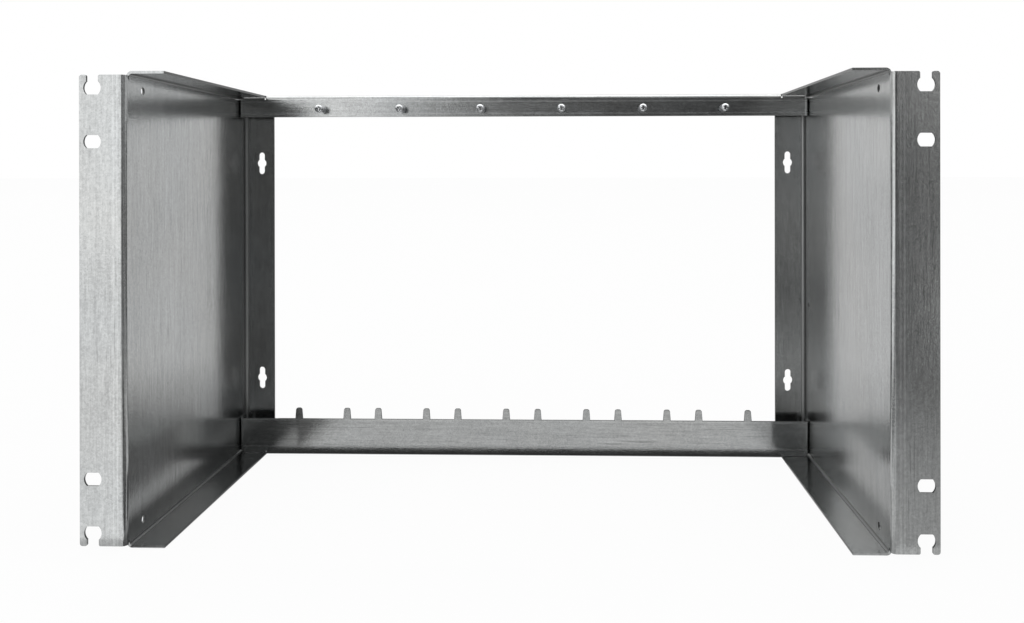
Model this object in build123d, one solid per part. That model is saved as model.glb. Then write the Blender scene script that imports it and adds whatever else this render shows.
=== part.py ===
from build123d import *
import os
from math import cos, pi

# Open 19-inch module frame, six units high, folded from zinc-coated steel sheet.
# Millimetres, Z up, X to the right, the front faces -Y.
# Origin: the middle of the footprint, on the surface that the frame stands on.

# Driving sizes of the sheet
sheet = 1.5
bend_inside = 1.5
rear_bend_inside = 2.5

# Height in rack units, less the gap left between stacked units
rack_units = 6
unit_height = 44.45
stacking_gap = 0.8

# Rack slots in the ears: spacing across the frame, and inset from the ear's ends
rack_slot_spacing = 465.1
rack_slot_inset = 37.7
rack_slot_dia = 10.0
rack_slot_flats = 7.5
edge_slot_inset = 7.4
edge_slot_throat = 6.8
mouth_radius = 1.0

# Ears: margin outside the slots, full width, and how far the walls pass their ends
ear_margin = 7.45
ear_width = 25.0
ear_corner_radius = 1.5
wall_overhang = 2.45
depth = 190.0

# Lips along the top and bottom of each side panel
lip_width = 21.5
relief_width = 1.2
relief_depth = 4.5

# Rear flange with wall-fixing keyholes
rear_flange_width = 23.5
keyhole_from_wall = 14.0
keyhole_from_bottom = 55.0
keyhole_from_top = 50.8
keyhole_head_dia = 7.0
keyhole_neck_width = 4.5
keyhole_length = 16.6

# Round fixing holes in the side panels
side_hole_dia = 4.5
side_hole_from_front = 21.0
side_hole_from_edge = 10.0
earth_hole_dia = 5.0
earth_hole_from_rear = 14.2
earth_hole_below_middle = 22.2

# Cross rails
rail_setback = 15.6
rail_end_gap = 0.6
rail_gap = 0.5
edge_gap = 0.2
top_rail_height = 16.2
bottom_rail_height = 27.4

# Module places, shared by the hooks below and the screws above
module_pitch = 60.0
hook_spacing = 36.4
hook_height = 8.1
hook_base_width = 5.7
hook_tip_width = 4.4
hook_tip_radius = 1.6

# Pan-head screws with a cross recess
screw_dia = 3.0
screw_clearance = 0.06
screw_length = 16.0
screw_standout = 9.8
head_overhang = 1.3
head_height = 2.4
head_edge_height = 1.1
recess_span = 3.0
recess_width = 0.75
recess_depth = 1.4

# Set rivet nuts with a six-sided body, above the lower edge of the top rail
nut_above_edge = 5.6
nut_wall = 0.74
nut_hole_clearance = 0.05
nut_flange_lip = 0.25
nut_flange_thickness = 0.8
nut_bulge = 0.7
nut_bulge_length = 1.8
nut_length_behind = 6.5

# Derived sizes
bend_outside = bend_inside + sheet
rear_bend_outside = rear_bend_inside + sheet
ear_height = rack_units * unit_height - stacking_gap
ear_low = wall_overhang
ear_high = ear_low + ear_height
body_height = ear_height + 2 * wall_overhang
slot_x = rack_slot_spacing / 2
ear_edge = slot_x + ear_margin
wall_outer = ear_edge - ear_width
front = -depth / 2
rear = depth / 2
wall_inner = wall_outer - sheet
wall_middle = wall_outer - sheet / 2
lip_edge = wall_outer - lip_width
flange_edge = wall_outer - rear_flange_width
lip_start = front + bend_outside + relief_width
lip_end = rear - rear_bend_outside - relief_width
rail_front = rear - rail_setback
rail_middle = rail_front + sheet / 2
rail_lip_end = rear - sheet
rail_fold_end = rear - rear_bend_outside - rail_end_gap
module_count = int(2 * lip_edge // module_pitch)
module_x = [(i - (module_count - 1) / 2) * module_pitch for i in range(module_count)]
screw_z = body_height - top_rail_height + nut_above_edge
head_radius = screw_dia / 2 + head_overhang
bore_radius = screw_dia / 2 + screw_clearance
nut_half_width = bore_radius + nut_wall
nut_corner_radius = nut_half_width / cos(pi / 6)
near = 0.01


def folded(points, plane, inside=bend_inside):
    """Section of a bent sheet, from the middle line of its thickness."""
    return plane * trace(FilletPolyline(*points, radius=inside + sheet / 2), sheet)


def raised(section, low, high):
    """A section drawn on the ground plane, raised from one height to another."""
    return Pos(0, 0, low) * extrude(section, amount=high - low)


def block(x_range, y_range, z_range):
    """A plain block between the given limits, used to cut or to keep."""
    size = [high - low for low, high in (x_range, y_range, z_range)]
    middle = [(high + low) / 2 for low, high in (x_range, y_range, z_range)]
    return Pos(*middle) * Box(*size)


def bar(section, start, end):
    """A section seen from the front, running along Y from one place to another."""
    return Pos(0, end, 0) * extrude(Plane.XZ * section, amount=end - start)


def hexagon(half_width):
    """A six-sided section, from half its width over the flats."""
    return RegularPolygon(half_width, 6, major_radius=False)


def thickness_edges(shape, x, z):
    """The edges through the thickness of the ear at one place on its face."""
    found = []
    for edge in shape.edges().filter_by(Axis.Y):
        middle = edge.center()
        if abs(middle.X - x) < near and abs(middle.Z - z) < near:
            found.append(edge)
    return found


def through_y(section, x, z):
    """A cutter along Y from a section drawn around its own centre."""
    cutter = extrude(Plane.XZ * section, amount=depth, both=True)
    return Pos(x, 0, z) * cutter


# Right side panel: a channel with the ear and the rear flange folded from its ends
channel_section = folded(
    [
        (lip_edge, sheet / 2),
        (wall_middle, sheet / 2),
        (wall_middle, body_height - sheet / 2),
        (lip_edge, body_height - sheet / 2),
    ],
    Plane.XY,
)
channel = bar(channel_section, lip_start, lip_end)

ear_section = folded(
    [
        (ear_edge, front + sheet / 2),
        (wall_middle, front + sheet / 2),
        (wall_middle, lip_start),
    ],
    Plane.XY,
)
ear = raised(ear_section, ear_low, ear_high)

flange_section = folded(
    [
        (wall_middle, lip_end),
        (wall_middle, rear - sheet / 2),
        (flange_edge, rear - sheet / 2),
    ],
    Plane.XY,
    rear_bend_inside,
)
flange = raised(flange_section, relief_depth, body_height - relief_depth)

# Relief notches where the ear's bend meets the bends of the lips
notch_y = (lip_start - relief_width, lip_start)
notch_x = (wall_inner - sheet, wall_outer + sheet)
notch_low = block(notch_x, notch_y, (-sheet, relief_depth))
notch_high = block(notch_x, notch_y, (body_height - relief_depth, body_height + sheet))
ear = ear - notch_low - notch_high

# Slots in the ear: round holes with two flats, two closed and two open at its ends
slot_shape = Circle(rack_slot_dia / 2) & Rectangle(rack_slot_dia, rack_slot_flats)
slot_centres = [
    ear_low + rack_slot_inset,
    ear_high - rack_slot_inset,
    ear_low + edge_slot_inset,
    ear_high - edge_slot_inset,
]
throat_length = edge_slot_inset + sheet
throat = Rectangle(edge_slot_throat, throat_length)
for slot_z in slot_centres:
    ear = ear - through_y(slot_shape, slot_x, slot_z)
ear = ear - through_y(throat, slot_x, ear_low + edge_slot_inset - throat_length / 2)
ear = ear - through_y(throat, slot_x, ear_high - edge_slot_inset + throat_length / 2)

# Rounded corners at the ends of the ear and at the mouths of its open slots
finger = ear_margin - edge_slot_throat / 2
for end_z in (ear_low, ear_high):
    mouth = thickness_edges(ear, slot_x - edge_slot_throat / 2, end_z)
    mouth += thickness_edges(ear, slot_x + edge_slot_throat / 2, end_z)
    ear = fillet(mouth, min(mouth_radius, finger * 0.4))
    corner = thickness_edges(ear, ear_edge, end_z)
    ear = fillet(corner, min(ear_corner_radius, finger * 0.4))

# Keyholes: a round hole for the head with a neck above and below
keyhole_x = wall_outer - keyhole_from_wall
keyhole_neck = Rot(0, 0, 90) * SlotOverall(keyhole_length, keyhole_neck_width)
keyhole_shape = Circle(keyhole_head_dia / 2) + keyhole_neck
for keyhole_z in (keyhole_from_bottom, body_height - keyhole_from_top):
    flange = flange - through_y(keyhole_shape, keyhole_x, keyhole_z)

plain_panel = channel + ear + flange

# Two round holes near the front edge of each side
side_hole_y = front + side_hole_from_front
side_drill = Rot(0, 90, 0) * Cylinder(side_hole_dia / 2, 4 * sheet)
for hole_z in (side_hole_from_edge, body_height - side_hole_from_edge):
    plain_panel = plain_panel - Pos(wall_middle, side_hole_y, hole_z) * side_drill

left_side_panel = mirror(plain_panel, about=Plane.YZ)

# The right side also has an earth-stud hole near the rear flange
earth_drill = Rot(0, 90, 0) * Cylinder(earth_hole_dia / 2, 4 * sheet)
earth_y = rear - earth_hole_from_rear
earth_z = body_height / 2 - earth_hole_below_middle
right_side_panel = plain_panel - Pos(wall_middle, earth_y, earth_z) * earth_drill


def rail_body(height):
    """A rail in its lower position: a face, a lip under it and two folded ends."""
    end_x = wall_inner - sheet / 2
    lip_half = lip_edge - rail_gap
    face_section = folded(
        [
            (-end_x, rail_fold_end),
            (-end_x, rail_middle),
            (end_x, rail_middle),
            (end_x, rail_fold_end),
        ],
        Plane.XY,
    )
    face = raised(face_section, sheet + edge_gap, height)
    face_window = block(
        (-lip_half - relief_width, lip_half + relief_width),
        (rail_front - sheet, rear),
        (0, bend_outside),
    )
    end_range = (wall_inner - bend_outside, wall_outer)
    corner = block(end_range, (rail_front - sheet, rear), (0, bend_outside))
    face = face - face_window - corner - mirror(corner, about=Plane.YZ)
    lip_section = folded(
        [
            (rail_middle, bend_outside + sheet),
            (rail_middle, sheet / 2),
            (rail_lip_end, sheet / 2),
        ],
        Plane.YZ,
    )
    lip = Pos(-lip_half, 0, 0) * extrude(lip_section, amount=2 * lip_half)
    return face + lip


# Bottom rail with a row of upright hooks that the modules sit over
hook_profile = Polygon(
    (-hook_base_width / 2, -sheet),
    (hook_base_width / 2, -sheet),
    (hook_base_width / 2, 0),
    (hook_tip_width / 2, hook_height),
    (-hook_tip_width / 2, hook_height),
    (-hook_base_width / 2, 0),
    align=None,
)
hook_profile = fillet(hook_profile.vertices().sort_by(Axis.Y)[-2:], hook_tip_radius)
hook = bar(hook_profile, rail_front, rail_front + sheet)
bottom_rail = rail_body(bottom_rail_height)
for x in module_x:
    for side in (-1, 1):
        hook_x = x + side * hook_spacing / 2
        bottom_rail = bottom_rail + Pos(hook_x, 0, bottom_rail_height) * hook

# Top rail: the same fold turned over, with a six-sided hole for each rivet nut
nut_punch = bar(hexagon(nut_half_width + nut_hole_clearance), -sheet, sheet)
top_rail = Pos(0, 0, body_height) * mirror(rail_body(top_rail_height), about=Plane.XY)
for x in module_x:
    top_rail = top_rail - Pos(x, rail_middle, screw_z) * nut_punch


# Rivet nut: a flange in front, the body through the hole, the bulge that holds it behind
nut_end = sheet + nut_length_behind
rivet_nut = bar(Circle(nut_corner_radius + nut_flange_lip), -nut_flange_thickness, 0)
rivet_nut = rivet_nut + bar(hexagon(nut_half_width), 0, nut_end)
rivet_nut = rivet_nut + bar(hexagon(nut_half_width + nut_bulge), sheet, sheet + nut_bulge_length)
rivet_nut = rivet_nut - bar(Circle(bore_radius), -2 * nut_flange_thickness, 2 * nut_end)

# Screw: place 0 is the underside of the head, the shank runs towards +Y
screw_outline = Polyline(
    (0, -head_height),
    (recess_span / 2, -head_height),
    (head_radius, -head_edge_height),
    (head_radius, 0),
    (screw_dia / 2, 0),
    (screw_dia / 2, screw_length),
    (0, screw_length),
    close=True,
)
screw = revolve(make_face(screw_outline), axis=Axis.Y)
recess = Rectangle(recess_span, recess_width) + Rectangle(recess_width, recess_span)
screw = screw - bar(recess, -2 * head_height, recess_depth - head_height)

nodes = {
    "left_side_panel": left_side_panel,
    "right_side_panel": right_side_panel,
    "top_rail": top_rail,
    "bottom_rail": bottom_rail,
}
for number, x in enumerate(module_x, start=1):
    nodes[f"rivet_nut_{number}"] = Pos(x, rail_front, screw_z) * rivet_nut
    nodes[f"module_screw_{number}"] = Pos(x, rail_front - screw_standout, screw_z) * screw

os.makedirs("parts", exist_ok=True)
for name, shape in nodes.items():
    export_step(shape, f"parts/{name}.step")
    print(name, "volume", round(shape.volume, 1), "valid", shape.is_valid)
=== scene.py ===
# %% [markdown]
# An open module frame, six rack units high, folded from zinc-coated steel sheet.
# Two side panels with rack ears stand left and right. A top rail with six screws and a
# bottom rail with twelve hooks cross between them at the rear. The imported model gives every
# size, so each step below reads it from there and only adds the look.

# %% Load the frame
import bmesh
import bpy
from math import pi, radians
from mathutils import Matrix, Vector
from mathutils.bvhtree import BVHTree


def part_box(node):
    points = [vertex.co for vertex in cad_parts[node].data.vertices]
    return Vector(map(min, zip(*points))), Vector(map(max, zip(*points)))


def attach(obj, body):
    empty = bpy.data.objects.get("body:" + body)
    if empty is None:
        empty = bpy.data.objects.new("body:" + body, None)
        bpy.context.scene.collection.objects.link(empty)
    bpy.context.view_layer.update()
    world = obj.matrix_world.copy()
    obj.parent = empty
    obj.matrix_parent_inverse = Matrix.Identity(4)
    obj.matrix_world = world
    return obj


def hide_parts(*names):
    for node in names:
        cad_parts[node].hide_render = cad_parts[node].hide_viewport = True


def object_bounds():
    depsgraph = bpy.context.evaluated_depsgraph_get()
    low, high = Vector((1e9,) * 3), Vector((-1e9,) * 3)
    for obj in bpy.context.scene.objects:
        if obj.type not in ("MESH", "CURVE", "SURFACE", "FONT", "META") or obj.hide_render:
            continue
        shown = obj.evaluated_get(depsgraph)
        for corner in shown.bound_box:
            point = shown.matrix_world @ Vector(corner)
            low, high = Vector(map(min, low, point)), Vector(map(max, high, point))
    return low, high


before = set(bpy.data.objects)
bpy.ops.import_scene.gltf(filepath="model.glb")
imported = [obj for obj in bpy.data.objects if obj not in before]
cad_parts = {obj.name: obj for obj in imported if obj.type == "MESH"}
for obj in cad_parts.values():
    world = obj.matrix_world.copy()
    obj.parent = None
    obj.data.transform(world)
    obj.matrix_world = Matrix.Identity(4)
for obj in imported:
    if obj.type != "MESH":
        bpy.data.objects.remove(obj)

MM = 0.001
cad_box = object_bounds()
scene = bpy.context.scene

# %% [markdown]
# Every finish and every repeated shape here is a tree of nodes. A node tree reads badly as a
# list of links, so one small class wraps an output and lets its values be added and
# multiplied as plain numbers are. One method makes any node: its settings come first, then
# the values or links of its inputs, named with underscores or by number.


# %% A short way to write node trees
def plug(node, key):
    """An input of a node by its number, or by its name with underscores for spaces."""
    if isinstance(key, int):
        return node.inputs[key]
    wanted = key.replace("_", " ").lower()
    usable = [s for s in node.inputs if s.name.lower() == wanted and s.enabled]
    return usable[0]


class Wire:
    """An output of a node, with the arithmetic of a plain number."""

    def __init__(self, tree, socket):
        self.tree = tree
        self.socket = socket

    def math(self, operation, *others):
        values = dict(enumerate((self, *others)))
        return self.tree.node("ShaderNodeMath", {"operation": operation}, values)

    def __add__(self, other):
        return self.math("ADD", other)

    def __sub__(self, other):
        return self.math("SUBTRACT", other)

    def __mul__(self, other):
        return self.math("MULTIPLY", other)

    def __truediv__(self, other):
        return self.math("DIVIDE", other)

    def __neg__(self):
        return self.math("MULTIPLY", -1.0)

    def __abs__(self):
        return self.math("ABSOLUTE")

    def __rsub__(self, other):
        return (-self).math("ADD", other)

    __radd__ = __add__
    __rmul__ = __mul__


class Tree:
    """A node tree, with one method that makes any node in it."""

    def __init__(self, tree):
        self.tree = tree

    def made(self, kind, settings=None, values=None):
        """The new node itself, for nodes of which several outputs are used."""
        node = self.tree.nodes.new(kind)
        for name, value in (settings or {}).items():
            setattr(node, name, value)
        for key, value in (values or {}).items():
            self.feed(plug(node, key), value)
        return node

    def feed(self, socket, value):
        if isinstance(value, Wire):
            self.tree.links.new(value.socket, socket)
        else:
            socket.default_value = value

    def node(self, kind, settings=None, values=None, out=0):
        """One output of a new node, by its number or its name."""
        made = self.made(kind, settings, values)
        if isinstance(out, str):
            return Wire(self, next(s for s in made.outputs if s.name == out and s.enabled))
        return Wire(self, [s for s in made.outputs if s.enabled][out])


print("node helpers ready")

# %% [markdown]
# The camera stands where the photograph was taken from: 0.6 m in front of the frame's middle,
# a little to the right and level with the upper part of the frame. It could be aimed at the
# frame, but then the uprights would lean. The picture is framed by shifting the lens, which
# keeps them parallel, as in the photograph.

# %% Camera
PHOTO_WIDTH, PHOTO_HEIGHT = 1024, 623
FOCAL_PIXELS = 908.6
VANISHING_X, VANISHING_Y = 547.0, 172.4
SENSOR = 36.0
CAMERA_PLACE = Vector((38.2, -599.7, 213.5)) * MM
CAMERA_TURN, CAMERA_TILT, CAMERA_ROLL = 0.0282, -0.0012, -0.0015

camera_data = bpy.data.cameras.new("camera")
camera_data.sensor_width = SENSOR
camera_data.lens = FOCAL_PIXELS * SENSOR / PHOTO_WIDTH
camera_data.shift_x = (PHOTO_WIDTH / 2 - VANISHING_X) / PHOTO_WIDTH
camera_data.shift_y = (VANISHING_Y - PHOTO_HEIGHT / 2) / PHOTO_WIDTH
camera_data.clip_start = 0.01
camera = bpy.data.objects.new("camera", camera_data)
scene.collection.objects.link(camera)
turn = Matrix.Rotation(CAMERA_TURN, 4, "Z")
tilt = Matrix.Rotation(pi / 2 + CAMERA_TILT, 4, "X")
roll = Matrix.Rotation(CAMERA_ROLL, 4, "Z")
camera.matrix_world = Matrix.Translation(CAMERA_PLACE) @ turn @ tilt @ roll
scene.camera = camera
print("camera lens", round(camera_data.lens, 2), "mm")

# %% [markdown]
# The frame was photographed on white. A white floor would need so much light that the metal
# burns out. Light Path solves that: rays from the camera and rays that left a mirror see the
# floor almost white, while all other rays see a lit, pale floor, which keeps the shadow.


# %% Pale floor
def seen_directly(tree):
    """One where a ray comes from the camera or from a mirror or glass, else zero."""
    path = tree.made("ShaderNodeLightPath")
    ways = [Wire(tree, path.outputs[name]) for name in
            ("Is Camera Ray", "Is Glossy Ray", "Is Transmission Ray")]
    return (ways[0] + ways[1] + ways[2]).math("MINIMUM", 1.0)


def new_material(name):
    material = bpy.data.materials.new(name)
    material.use_nodes = True
    material.node_tree.nodes.clear()
    return material, Tree(material.node_tree)


def finish_material(tree, surface):
    tree.made("ShaderNodeOutputMaterial", None, {"Surface": surface})


def floor_material():
    material, tree = new_material("pale_floor")
    lit = tree.node("ShaderNodeBsdfPrincipled", None,
                    {"Base_Color": (0.86, 0.86, 0.86, 1), "Roughness": 0.9})
    white = tree.node("ShaderNodeEmission", None, {"Color": (1, 1, 1, 1), "Strength": 1.0})
    share = seen_directly(tree) * 0.94
    finish_material(tree, tree.node("ShaderNodeMixShader", None, {0: share, 1: lit, 2: white}))
    return material


def stage_sheet(name, corners, material):
    """A flat stage piece between four corners."""
    mesh = bpy.data.meshes.new(name)
    mesh.from_pydata(corners, [], [(0, 1, 2, 3)])
    mesh.materials.append(material)
    flat = bpy.data.objects.new(name, mesh)
    scene.collection.objects.link(flat)
    return flat


FLOOR_Z = cad_box[0][2]
FAR = 30.0
floor_corners = [(x, y, FLOOR_Z) for x, y in ((-FAR, -FAR), (FAR, -FAR), (FAR, FAR), (-FAR, FAR))]
stage_sheet("floor", floor_corners, floor_material())
print("floor at", round(FLOOR_Z, 4))

# %% [markdown]
# Bare zinc has almost no colour of its own: what it shows is the room, and in an empty white
# room each sheet would be one even grey. In a studio, cards are stood around metal for that
# reason. These cards are seen by reflections only, so they neither light the frame nor cast
# a shadow. A card's tone can change evenly along one axis, which makes a soft gradient.


# %% Cards for the metal to mirror
def card(name, corners, tone, far_tone=None, axis="Y"):
    """A card that only reflections see, from its tone at the low end to that at the far one."""
    material, tree = new_material(name)
    grey = tone
    if far_tone is not None:
        where = tree.node("ShaderNodeTexCoord", out="Object")
        along = tree.node("ShaderNodeSeparateXYZ", None, {0: where}, axis)
        ends = [corner["XYZ".index(axis)] for corner in corners]
        grey = tree.node("ShaderNodeMapRange", None, {
            "Value": along, "From_Min": min(ends), "From_Max": max(ends),
            "To_Min": tone, "To_Max": far_tone})
    colour = tree.node("ShaderNodeCombineColor", None, {"Red": grey, "Green": grey, "Blue": grey})
    glow = tree.node("ShaderNodeEmission", None, {"Color": colour, "Strength": 1.0})
    finish_material(tree, glow)
    flat = stage_sheet(name, corners, material)
    flat.visible_camera = False
    flat.visible_diffuse = False
    flat.visible_shadow = False


def level_card(name, y, near_x, far_x, z, *tones):
    """A card lying flat, with its own X limits at its near and its far end."""
    corners = [(near_x[0], y[0], z), (near_x[1], y[0], z), (far_x[1], y[1], z), (far_x[0], y[1], z)]
    card(name, corners, *tones)


def screen(name, x, y, z, tone, far_tone=None):
    """A card standing across the room, whose tone can change from left to right."""
    corners = [(x[0], y, z[0]), (x[1], y, z[0]), (x[1], y, z[1]), (x[0], y, z[1])]
    card(name, corners, tone, far_tone, "X")


def sill(name, x, z, tone):
    """A low card along a side panel, between the rails' bends: painted shade for the lower walls.
    """
    near, far = -0.09, 0.06
    card(name, [(x, near, z[0]), (x, far, z[0]), (x, far, z[1]), (x, near, z[1])], tone)


print("card helpers ready")

# %% [markdown]
# The upright faces mirror what stands around the camera. Dark screens there make the rear
# flanges and the right part of the top rail dark, a bright one makes its left part light,
# and the room's right side gives the right ear its middle grey. The narrow screens behind
# the frame keep the keyholes from showing bright in the walls' mirror images, and the ceiling
# gives the top rail's bend its white line. Each tone was found by trial: render, compare a
# face with the photograph, and change the card that the face mirrors.

# %% Screens and ceiling
ROOM_FRONT, ROOM_REAR, ROOM_TOP = -12.0, 10.0, 9.0
DARK_TOP = 2.4
RIGHT_START = 4.2
BESIDE_CAMERA = -1.3
BEHIND_FRAME = 0.15
CEILING_Z = 3.2

screen("front_screen", (-1.35, RIGHT_START), ROOM_FRONT, (0.0, DARK_TOP), 0.18, 0.02)
screen("high_front_screen", (-1.35, RIGHT_START), ROOM_FRONT, (DARK_TOP, ROOM_TOP), 0.25)
screen("right_screen", (RIGHT_START, 40.0), ROOM_FRONT, (0.0, ROOM_TOP), 0.4)
screen("right_window", (4.4, 5.6), ROOM_FRONT + 0.1, (1.05, 2.0), 1.1)
screen("dusk_screen", (-0.36, -0.18), BESIDE_CAMERA, (0.335, 1.3), 1.35, 0.13)
screen("dark_screen", (-0.18, 0.1), BESIDE_CAMERA, (0.335, 1.3), 0.02, 0.12)
screen("low_screen", (-0.3, 0.05), BESIDE_CAMERA, (0.2, 0.335), 0.6)
screen("left_rear_screen", (-9.0, 0.0), ROOM_REAR, (1.7, ROOM_TOP), 1.3)
screen("right_rear_screen", (0.0, 9.0), ROOM_REAR, (1.7, ROOM_TOP), 0.5)
screen("left_keyhole_screen", (-0.207, -0.173), BEHIND_FRAME, (0.03, 0.245), 0.1)
screen("right_keyhole_screen", (0.179, 0.207), BEHIND_FRAME, (0.03, 0.245), 0.18)
level_card("ceiling", (-1.0, 3.0), (-4.0, 4.0), (-4.0, 4.0), CEILING_Z, 2.6)
# Painted shade: the lower side walls mirror these darker low cards.
sill("left_sill", -0.175, (0.0, 0.031), 0.18)
sill("right_sill", 0.19, (0.0, 0.03), 0.65)
print("screens standing")

# %% [markdown]
# Most of the metal looks down at the floor, so the floor gets grey mats that only reflections
# see. Those before the frame shade the ears and the left flange. Those beside the panels'
# feet, the dark one under the bottom rail and those behind the frame are painted shadow:
# they darken the floor where the frame's own shadow falls, and the bottom rail's ends and the
# lower side walls mirror it.

# %% Mats on the floor, some of them painted shadow
UNDER_CAMERA = -0.6
FRAME_FRONT, FRAME_REAR = -0.11, 0.1
PANEL_X = 0.2135
MAT_LIFT = 0.5 * MM


def mat(name, y, near_x, far_x, *tones, lift=MAT_LIFT):
    level_card(name, y, near_x, far_x, FLOOR_Z + lift, *tones)


def straight_mat(name, y, x, *tones, lift=MAT_LIFT):
    mat(name, y, x, x, *tones, lift=lift)


mat("left_far_mat", (ROOM_FRONT, UNDER_CAMERA), (-4.2, -1.0), (-0.25, 0.0), 0.55, 0.5)
mat("right_far_mat", (ROOM_FRONT, UNDER_CAMERA), (-1.0, 6.0), (0.0, 0.45), 0.15, 0.25)
mat("right_side_mat", (ROOM_FRONT, -0.1), (6.0, 40.0), (0.5, 40.0), 0.25)
mat("left_front_mat", (UNDER_CAMERA, -0.25), (-0.13, 0.02), (-0.17, 0.02), 0.05, 0.15)
mat("left_entry_mat", (-0.25, FRAME_FRONT), (-0.17, 0.02), (-0.2, 0.02), 0.3, 0.1)
straight_mat("right_front_mat", (UNDER_CAMERA, FRAME_FRONT), (0.02, 0.2), 0.6, 0.9)
straight_mat("right_ear_mat", (UNDER_CAMERA, FRAME_FRONT), (0.2, 0.5), 0.22, 0.7)
mat("bright_mat", (-3.0, FRAME_FRONT), (-4.0, -1.0), (-1.0, -0.2), 1.3, 1.6)
# Painted shadow: darker mats beside the panels' feet, where the frame's own shadow falls.
straight_mat("left_foot_mat", (FRAME_FRONT, FRAME_REAR), (-PANEL_X, -0.165), 0.1, 0.75, "X")
straight_mat("right_foot_mat", (FRAME_FRONT, FRAME_REAR), (0.187, PANEL_X), 0.7)
# Painted shadow: a dark mat right under the bottom rail.
straight_mat("rail_shadow_mat", (0.062, FRAME_REAR), (-0.2, 0.2), 0.07, lift=0.8 * MM)
# Painted shadow behind the frame, fading out towards the back.
straight_mat("left_heel_mat", (FRAME_REAR, 0.2), (-0.5, -0.03), 0.2, 0.5)
straight_mat("left_rear_mat", (0.2, 0.45), (-0.5, -0.03), 0.5, 0.95)
straight_mat("right_heel_mat", (FRAME_REAR, 0.2), (-0.03, 0.5), 0.6, 0.75)
straight_mat("right_rear_mat", (0.2, 0.45), (-0.03, 0.5), 0.75, 1.0)
mat("far_rear_mat", (0.45, 9.9), (-0.5, 0.5), (-9.0, 9.0), 0.95, 0.88)
print("mats laid")

# %% [markdown]
# The light itself is plain: an even white surround, a large soft lamp at the front left and
# one overhead. The surround is a little dimmer for the light it gives than for what is seen
# of it, so the background stays white while the metal keeps its tone.

# %% Surround and lamps
SURROUND_LIGHT = 0.8
FRAME_MIDDLE = Vector((0, 0, 0.13))

surround = bpy.data.worlds.new("surround")
scene.world = surround
surround.use_nodes = True
surround.node_tree.nodes.clear()
air = Tree(surround.node_tree)
level = SURROUND_LIGHT + (1 - SURROUND_LIGHT) * seen_directly(air)
background = air.node("ShaderNodeBackground", None, {"Color": (1, 1, 1, 1), "Strength": level})
air.made("ShaderNodeOutputWorld", None, {"Surface": background})


def soft_lamp(name, place, size, power):
    """A rectangular lamp that faces the frame's middle."""
    data = bpy.data.lights.new(name, "AREA")
    data.shape = "RECTANGLE"
    data.size, data.size_y = size
    data.energy = power
    lamp = bpy.data.objects.new(name, data)
    aim = (FRAME_MIDDLE - Vector(place)).to_track_quat("-Z", "Y")
    lamp.matrix_world = Matrix.Translation(place) @ aim.to_matrix().to_4x4()
    scene.collection.objects.link(lamp)
    lamp.visible_camera = False


soft_lamp("front_left_lamp", (-0.87, -1.25, 0.62), (1.1, 1.2), 3.4)
soft_lamp("top_lamp", (0.1, -0.1, 2.4), (1.6, 1.2), 4.0)
scene.view_settings.view_transform = "Standard"
print("lamps", len(bpy.data.lights))

# %% [markdown]
# The sheet is hot-dip galvanised: steel under a thin skin of zinc. The zinc freezes in small
# crystals, the rolling mill leaves fine streaks along the sheet, and handling adds clouds and
# a few scratches. A picture of zinc could be wrapped round the sheets, but it would smear on
# the bends, so each of these marks is a noise of its own size in the object's space. Noise
# that is squeezed across one axis becomes streaks along it.


# %% Noises for the metals
def noise(tree, where, scale, detail=2.0, rough=0.5):
    values = {"Vector": where, "Scale": scale, "Detail": detail, "Roughness": rough}
    return tree.node("ShaderNodeTexNoise", None, values)


def along_grain(tree, where, grain, waves, detail, rough):
    """Noise drawn out along the grain axis, in waves per metre across it and along it."""
    scales = [waves[0]] * 3
    scales[grain] = waves[1]
    drawn_out = tree.node("ShaderNodeMapping", None, {"Vector": where, "Scale": scales})
    return noise(tree, drawn_out, 1.0, detail, rough)


def ramp(value, low, high):
    """Zero below low, one above high and a smooth rise between."""
    values = {"Value": value, "From_Min": low, "From_Max": high}
    return value.tree.node("ShaderNodeMapRange", {"interpolation_type": "SMOOTHSTEP"}, values)


def moved_pattern(tree, where, by):
    """The same space moved aside, so that two finishes don't share their marks."""
    return tree.node("ShaderNodeMapping", None, {"Vector": where, "Location": (by, by, by)})


def metal(tree, colour, roughness, bump):
    return tree.node("ShaderNodeBsdfPrincipled", None, {
        "Base_Color": colour, "Metallic": 1.0, "Roughness": roughness, "Normal": bump})


print("noise helpers ready")

# %% [markdown]
# Zinc shows a clear reflection under a wide haze, so two metals are mixed, and the clouds
# decide their share. The press leaves thin dull lines beside each fold, at known distances,
# so a plain comparison of the coordinate draws them. The streaks run up the side panels and
# along the rails, as the blanks were cut from the coil, which makes two finishes of one.

# %% Zinc finish
ZINC_TONE = 0.365
ALONG_X, ALONG_Z = 0, 2
FINE_STREAKS, LONG_BANDS, SCRATCHES = (780.0, 60.0), (260.0, 6.0), (1100.0, 30.0)
CRYSTALS, GRAINS, CLOUDS, TINTS = 620.0, 1100.0, 14.0, 9.0
MARK_HALF_WIDTH, MARK_FADED = 0.2 * MM, 0.75 * MM


def press_marks(tree, across, places):
    """One on thin lines where the across coordinate equals a place, given in millimetres."""
    marks = 0.0
    for place in places:
        away = abs(across - place * MM)
        marks = (1 - ramp(away, MARK_HALF_WIDTH, MARK_FADED)) + marks
    return marks


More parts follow.
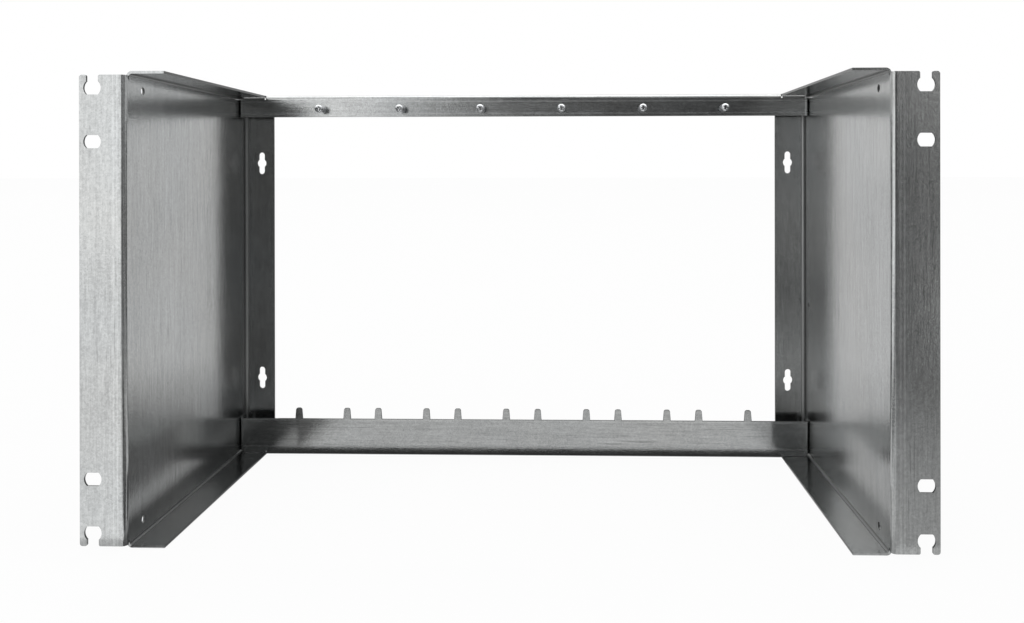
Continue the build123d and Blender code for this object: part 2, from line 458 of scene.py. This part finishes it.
def zinc_material(name, grain, places, seed):
    """Zinc-coated sheet whose streaks run along the grain axis."""
    material, tree = new_material(name)
    where = tree.node("ShaderNodeTexCoord", out="Object")
    axes = [tree.node("ShaderNodeSeparateXYZ", None, {0: where}, letter) for letter in "XYZ"]
    marks = press_marks(tree, abs(axes[0]) if grain == ALONG_Z else axes[2], places)
    where = moved_pattern(tree, where, seed)
    streaks = along_grain(tree, where, grain, FINE_STREAKS, 3.0, 0.65)
    bands = along_grain(tree, where, grain, LONG_BANDS, 3.0, 0.6)
    crystals = {"Vector": where, "Scale": CRYSTALS}
    crystals = tree.node("ShaderNodeTexVoronoi", None, crystals, "Color")
    crystals = tree.node("ShaderNodeSeparateColor", None, {0: crystals})
    grains = noise(tree, where, GRAINS, 2.0, 0.6)
    clouds = noise(tree, where, CLOUDS, 4.0, 0.6)
    scratch = along_grain(tree, where, grain, SCRATCHES, 1.0, 0.4)
    scratch = ramp(scratch, 0.62, 0.72) * ramp(clouds, 0.42, 0.62)

    shade = 0.55 * (streaks - 0.5) + 0.25 * (bands - 0.5) + 0.15 * (crystals - 0.5)
    shade = shade + 0.5 * (grains - 0.5) + 0.4 * (clouds - 0.5)
    shade = shade + 0.16 * marks - 0.3 * scratch
    bright = ZINC_TONE * (1 + shade)
    tint = 0.05 * (noise(tree, where, TINTS) - 0.5)
    colour = tree.node("ShaderNodeCombineColor", None, {
        "Red": bright * (0.985 - tint), "Green": bright * 1.005, "Blue": bright * (1 + tint)})

    relief = 0.5 * streaks + 0.15 * crystals + 0.8 * grains + 0.2 * bands
    bump = tree.node("ShaderNodeBump", None,
                     {"Strength": 0.5, "Distance": 0.0001, "Height": relief})
    clear = metal(tree, colour, 0.13 + 0.08 * streaks, bump)
    hazy = metal(tree, colour, 0.28 + 0.10 * clouds, bump)
    haze = 0.05 + 0.4 * (clouds - 0.5) + 0.1 * (crystals - 0.5) + 0.4 * marks
    haze = haze.math("MAXIMUM", 0.0).math("MINIMUM", 1.0)
    finish_material(tree, tree.node("ShaderNodeMixShader", None, {0: haze, 1: clear, 2: hazy}))
    return material


upright_zinc = zinc_material("upright_zinc", ALONG_Z, (218.4, 220.6), 0.0)
level_zinc = zinc_material("level_zinc", ALONG_X, (6.6, 26.4, 256.9, 266.0), 0.37)
print("zinc finishes made")

# %% [markdown]
# Where the sheet was punched or sheared, the zinc is only smeared over the steel, so the edge
# is duller than the face. The inside of a fold gets painted shade: a darker version of the
# same dull metal stands in for the shade that falls in the hollow of the bend. Both are one
# dull metal with fine marks, in two strengths.


# %% Sheared edge finish and painted fold shade
def worn_or_shaded_metal(name, tone, rough, scale, seed):
    """A dull metal with even fine marks, for sheared edges and for painted shade in the folds."""
    material, tree = new_material(name)
    where = moved_pattern(tree, tree.node("ShaderNodeTexCoord", out="Object"), seed)
    marks = noise(tree, where, scale, 2.0, 0.6)
    clouds = noise(tree, where, 60.0, 2.0, 0.5)
    bright = tone * (0.7 + 0.4 * marks + 0.2 * clouds)
    colour = tree.node("ShaderNodeCombineColor", None,
                       {"Red": bright * 0.985, "Green": bright * 1.005, "Blue": bright})
    bump = tree.node("ShaderNodeBump", None,
                     {"Strength": 0.4, "Distance": 0.00005, "Height": marks})
    finish_material(tree, metal(tree, colour, rough + 0.15 * marks, bump))
    return material


sheared_edge = worn_or_shaded_metal("sheared_edge", 0.12, 0.28, 1400.0, 0.0)
# Painted shade: fold hollows get a darker metal, 0.2 against the zinc's 0.365.
painted_shade_fold = worn_or_shaded_metal("painted_shade_fold", 0.2, 0.3, 900.0, 0.5)
print("edge and fold finishes made")

# %% [markdown]
# The imported sheets have the right shape, but one finish all over. Painting the faces by hand
# would be lost at the next change of size, so two simple tests sort them. A face belongs to
# a sheared edge when the metal behind it is thicker than the sheet. It lies in a fold's
# hollow, where painted shade goes, when its neighbours rise in front of it.

# %% Sheared faces and shaded fold hollows
SHEET = 1.5 * MM
ZINC_FACE, EDGE_FACE, SHADED_FOLD_FACE = 0, 1, 2
JOIN_DISTANCE = 0.002 * MM
SAME_FLAT = radians(0.5)
SQUARE_ON = 0.999
HOLLOW_RISE = 0.01
THICKER = 1.15 * SHEET
UNDER_FACE = 0.01 * MM


def joined_copy(node):
    """The node's triangles joined into a clean mesh in a bmesh."""
    work = bmesh.new()
    work.from_mesh(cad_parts[node].data)
    bmesh.ops.remove_doubles(work, verts=work.verts, dist=JOIN_DISTANCE)
    bmesh.ops.dissolve_limit(work, angle_limit=SAME_FLAT, verts=work.verts, edges=work.edges)
    return work


def is_hollow(face):
    """Whether a face lies in the hollow of a fold: its neighbours rise in front of it."""
    if max(abs(v) for v in face.normal) > SQUARE_ON:
        return False
    here = face.calc_center_median()
    rise = 0.0
    for edge in face.edges:
        for other in edge.link_faces:
            if other is not face:
                rise += (other.calc_center_median() - here).normalized().dot(face.normal)
    return rise > HOLLOW_RISE


def mark_sheared_and_shaded_faces(work):
    """Gives each face the number of its finish, and counts them."""
    tree = BVHTree.FromBMesh(work)
    counts = [0, 0, 0]
    for face in work.faces:
        start = face.calc_center_median() - face.normal * UNDER_FACE
        depth = tree.ray_cast(start, -face.normal)[3]
        if depth is not None and depth > THICKER:
            face.material_index = EDGE_FACE
        elif is_hollow(face):
            # A fold's hollow gets painted shade.
            face.material_index = SHADED_FOLD_FACE
        else:
            face.material_index = ZINC_FACE
        face.smooth = True
        counts[face.material_index] += 1
    return counts


print("face tests ready")

# %% [markdown]
# Real sheared rims catch a thin line of light, because punching rounds them. A Bevel modifier
# on all sharp edges does that and gives the rim the edge's finish. Weighted normals then keep
# the flats flat beside the bends. The modifiers are baked into plain mesh.

# %% Folded sheets
RIM = 0.25 * MM
RIM_ANGLE = radians(40)


def baked(piece):
    """Turns a piece's modifiers into a plain mesh."""
    depsgraph = bpy.context.evaluated_depsgraph_get()
    mesh = bpy.data.meshes.new_from_object(piece.evaluated_get(depsgraph))
    piece.modifiers.clear()
    piece.data = mesh


def dressed_sheet(node, finish):
    """Replaces a packed sheet by the same sheet with sheared faces, painted fold shade and rims."""
    work = joined_copy(node)
    counts = mark_sheared_and_shaded_faces(work)
    mesh = bpy.data.meshes.new(node + "_sheet")
    work.to_mesh(mesh)
    work.free()
    for material in (finish, sheared_edge, painted_shade_fold):
        mesh.materials.append(material)
    piece = bpy.data.objects.new(node + "_sheet", mesh)
    scene.collection.objects.link(piece)
    bevel = piece.modifiers.new("rim", "BEVEL")
    bevel.width = RIM
    bevel.segments = 2
    bevel.limit_method = "ANGLE"
    bevel.material = EDGE_FACE
    bevel.angle_limit = RIM_ANGLE
    normals = piece.modifiers.new("flats", "WEIGHTED_NORMAL")
    normals.keep_sharp = False
    baked(piece)
    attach(piece, "frame")
    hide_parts(node)
    print(node, "flat, sheared and hollow faces", counts)


for node in ("left_side_panel", "right_side_panel"):
    dressed_sheet(node, upright_zinc)
for node in ("top_rail", "bottom_rail"):
    dressed_sheet(node, level_zinc)

# %% [markdown]
# The screws and the nuts behind them are steel with a bright, thin plating. It is smoother
# than the zinc of the sheets, so it mirrors the room in small hard lights. Fine grain and a
# few dull clouds keep it from looking like chrome.


# %% Plating
def plating(name, tone, rough):
    """Bright plating: even, with fine grain and a few dull clouds."""
    material, tree = new_material(name)
    where = tree.node("ShaderNodeTexCoord", out="Object")
    clouds = noise(tree, where, 700.0, 2.0, 0.5)
    grain = noise(tree, where, 4200.0, 2.0, 0.6)
    bright = tone * (0.86 + 0.16 * clouds + 0.12 * grain)
    colour = tree.node("ShaderNodeCombineColor", None,
                       {"Red": bright * 0.98, "Green": bright, "Blue": bright * 1.02})
    bump = tree.node("ShaderNodeBump", None,
                     {"Strength": 0.25, "Distance": 0.00003, "Height": grain})
    finish_material(tree, metal(tree, colour, rough + 0.1 * clouds, bump))
    return material


screw_plating = plating("screw_plating", 0.52, 0.06)
nut_plating = plating("nut_plating", 0.5, 0.24)
print("platings made")

# %% [markdown]
# Six long cross-head screws go through the top rail and hold the modules. A screw is all
# rules, so a Geometry Nodes tree builds it from its sizes and not by hand. A spiral with a
# three-cornered profile is the rolled thread, and a cylinder with a blunt cone is its core.

# %% Threaded rod of a screw
SCREW_SIZES = {
    "Length": 16.0 * MM, "Thread Radius": 1.5 * MM, "Thread Depth": 0.3 * MM, "Pitch": 0.5 * MM,
    "Head Radius": 2.8 * MM, "Head Height": 2.4 * MM, "Rim Height": 1.1 * MM,
    "Wing Length": 3.3 * MM, "Wing Width": 0.9 * MM, "Recess Depth": 1.6 * MM,
}
POINT_LENGTH = 0.6 * MM
ROD_CORNERS, HEAD_CORNERS = 24, 48


def vector(tree, x, y, z):
    return tree.node("ShaderNodeCombineXYZ", None, {"X": x, "Y": y, "Z": z})


def cylinder(tree, radius, depth, corners):
    values = {"Vertices": corners, "Radius": radius, "Depth": depth}
    return tree.node("GeometryNodeMeshCylinder", None, values)


def along_screw(tree, shape, z):
    """The shape moved along the screw's axis."""
    values = {"Geometry": shape, "Translation": vector(tree, 0.0, 0.0, z)}
    return tree.node("GeometryNodeTransform", None, values)


def threaded_rod(tree, size):
    """The thread, the core and the point of a screw, from its head's underside up."""
    length = size["Length"]
    radius = size["Thread Radius"] - size["Thread Depth"]
    threaded = length - 2 * POINT_LENGTH
    spiral = tree.node("GeometryNodeCurveSpiral", None, {
        "Resolution": 20, "Rotations": threaded / size["Pitch"],
        "Start_Radius": radius, "End_Radius": radius, "Height": threaded})
    profile = tree.node("GeometryNodeCurvePrimitiveCircle", {"mode": "RADIUS"},
                        {"Resolution": 3, "Radius": size["Thread Depth"] * 0.98})
    thread = tree.node("GeometryNodeCurveToMesh", None,
                       {"Curve": spiral, "Profile_Curve": profile, "Fill_Caps": True})
    core_length = length - POINT_LENGTH
    core = cylinder(tree, radius, core_length, ROD_CORNERS)
    point = tree.node("GeometryNodeMeshCone", None, {
        "Vertices": ROD_CORNERS, "Radius_Top": radius * 0.6, "Radius_Bottom": radius,
        "Depth": POINT_LENGTH})
    return [along_screw(tree, thread, POINT_LENGTH),
            along_screw(tree, core, core_length / 2),
            along_screw(tree, point, core_length)]


print("screw thread turns", SCREW_SIZES["Length"] / SCREW_SIZES["Pitch"])

# %% [markdown]
# The pan head is where a flattened ball and a cylinder of the head's width overlap, which
# gives the straight rim and the domed top at once. Two crossed bars and a small cone are
# then taken out of it for the driver.


# %% Pan head with its cross recess
def carved(tree, operation, base, shapes):
    """A boolean of shapes. An overlap has no base."""
    node = tree.made("GeometryNodeMeshBoolean", {"operation": operation})
    if base is not None:
        tree.feed(node.inputs["Mesh 1"], base)
    for shape in shapes:
        tree.feed(node.inputs["Mesh 2"], shape)
    return Wire(tree, node.outputs["Mesh"])


def pan_head(tree, size):
    """The head, which hangs below zero. Its ball's middle lies a little lower still."""
    height, radius = size["Head Height"], size["Head Radius"]
    sunk = height * 0.08
    reach = height - sunk
    drop = (size["Rim Height"] - sunk) / reach
    wide = radius / (1 - drop * drop).math("SQRT")
    ball = tree.node("GeometryNodeMeshUVSphere", None,
                     {"Segments": HEAD_CORNERS, "Rings": 24, "Radius": 1.0})
    ball = tree.node("GeometryNodeTransform", None, {
        "Geometry": ball, "Translation": vector(tree, 0.0, 0.0, -sunk),
        "Scale": vector(tree, wide, wide, reach)})
    blank = cylinder(tree, radius, height * 1.2, HEAD_CORNERS)
    return carved(tree, "INTERSECT", None, [ball, along_screw(tree, blank, height * -0.6)])


def cross_recess(tree, size):
    """The two crossed bars and the pit that the recess takes out of the head's top."""
    top = -size["Head Height"]
    depth, width = size["Recess Depth"], size["Wing Width"]
    cuts = []
    for across, along in (("Wing Length", "Wing Width"), ("Wing Width", "Wing Length")):
        bar = vector(tree, size[across], size[along], depth * 2)
        wing = tree.node("GeometryNodeMeshCube", None, {"Size": bar})
        cuts.append(along_screw(tree, wing, top))
    pit = tree.node("GeometryNodeMeshCone", None, {
        "Vertices": 16, "Radius_Top": width * 0.3, "Radius_Bottom": width * 1.15,
        "Depth": depth * 1.15})
    cuts.append(along_screw(tree, pit, top))
    return cuts


def screw_tree():
    """The tree of one screw along +Z, its head's underside at zero and its head below."""
    group = bpy.data.node_groups.new("cross_head_screw", "GeometryNodeTree")
    for name in SCREW_SIZES:
        group.interface.new_socket(name, in_out="INPUT", socket_type="NodeSocketFloat")
    group.interface.new_socket("Geometry", in_out="OUTPUT", socket_type="NodeSocketGeometry")
    tree = Tree(group)
    sizes = tree.made("NodeGroupInput")
    size = {name: Wire(tree, sizes.outputs[name]) for name in SCREW_SIZES}
    head = carved(tree, "DIFFERENCE", pan_head(tree, size), cross_recess(tree, size))
    joined = tree.made("GeometryNodeJoinGeometry")
    for shape in (*threaded_rod(tree, size), head):
        tree.feed(joined.inputs["Geometry"], shape)
    whole = Wire(tree, joined.outputs[0])
    whole = tree.node("GeometryNodeRealizeInstances", None, {"Geometry": whole})
    values = {"Geometry": whole, "Material": screw_plating}
    whole = tree.node("GeometryNodeSetMaterial", None, values)
    tree.made("NodeGroupOutput", None, {"Geometry": whole})
    return group


screw_group = screw_tree()
print("screw tree has", len(screw_group.nodes), "nodes")

# %% [markdown]
# Each screw moves alone, so each gets its own mesh, baked from the tree. It is laid along the
# rail's depth at the place of its packed screw. No two screws in a real frame stop with their
# crosses in line, so each is turned a little further than the last.

# %% Screws in the top rail
CROSS_STEP = radians(17.0)
SHARP_ANGLE = radians(32)


def screw(number):
    """One screw in the place of its packed one."""
    node = "module_screw_" + str(number)
    low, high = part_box(node)
    underside = low[1] + SCREW_SIZES["Head Height"]
    seat = Vector(((low[0] + high[0]) / 2, underside, (low[2] + high[2]) / 2))
    piece = bpy.data.objects.new(node + "_threaded", bpy.data.meshes.new(node + "_threaded"))
    scene.collection.objects.link(piece)
    modifier = piece.modifiers.new("screw", "NODES")
    modifier.node_group = screw_group
    for item in screw_group.interface.items_tree:
        if item.in_out == "INPUT":
            modifier[item.identifier] = SCREW_SIZES[item.name]
    baked(piece)
    turned = Matrix.Rotation(CROSS_STEP * number, 4, "Z")
    laid = Matrix.Rotation(-pi / 2, 4, "X")
    piece.data.transform(Matrix.Translation(seat) @ laid @ turned)
    piece.data.shade_smooth()
    piece.data.set_sharp_from_angle(angle=SHARP_ANGLE)
    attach(piece, "screw_" + str(number))
    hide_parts(node)
    return piece


screws = [screw(number) for number in range(1, 7)]
print("screws", len(screws), "with", len(screws[0].data.polygons), "faces each")

# %% [markdown]
# A rivet nut behind each screw is a tube pressed into a six-sided hole and bulged behind the
# sheet. Only its thin flange shows from the front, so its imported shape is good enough, and it
# gets a duller plating than the screws.

# %% Rivet nuts
for number in range(1, 7):
    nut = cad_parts["rivet_nut_" + str(number)]
    for slot in nut.material_slots:
        slot.material = nut_plating
print("nuts plated")
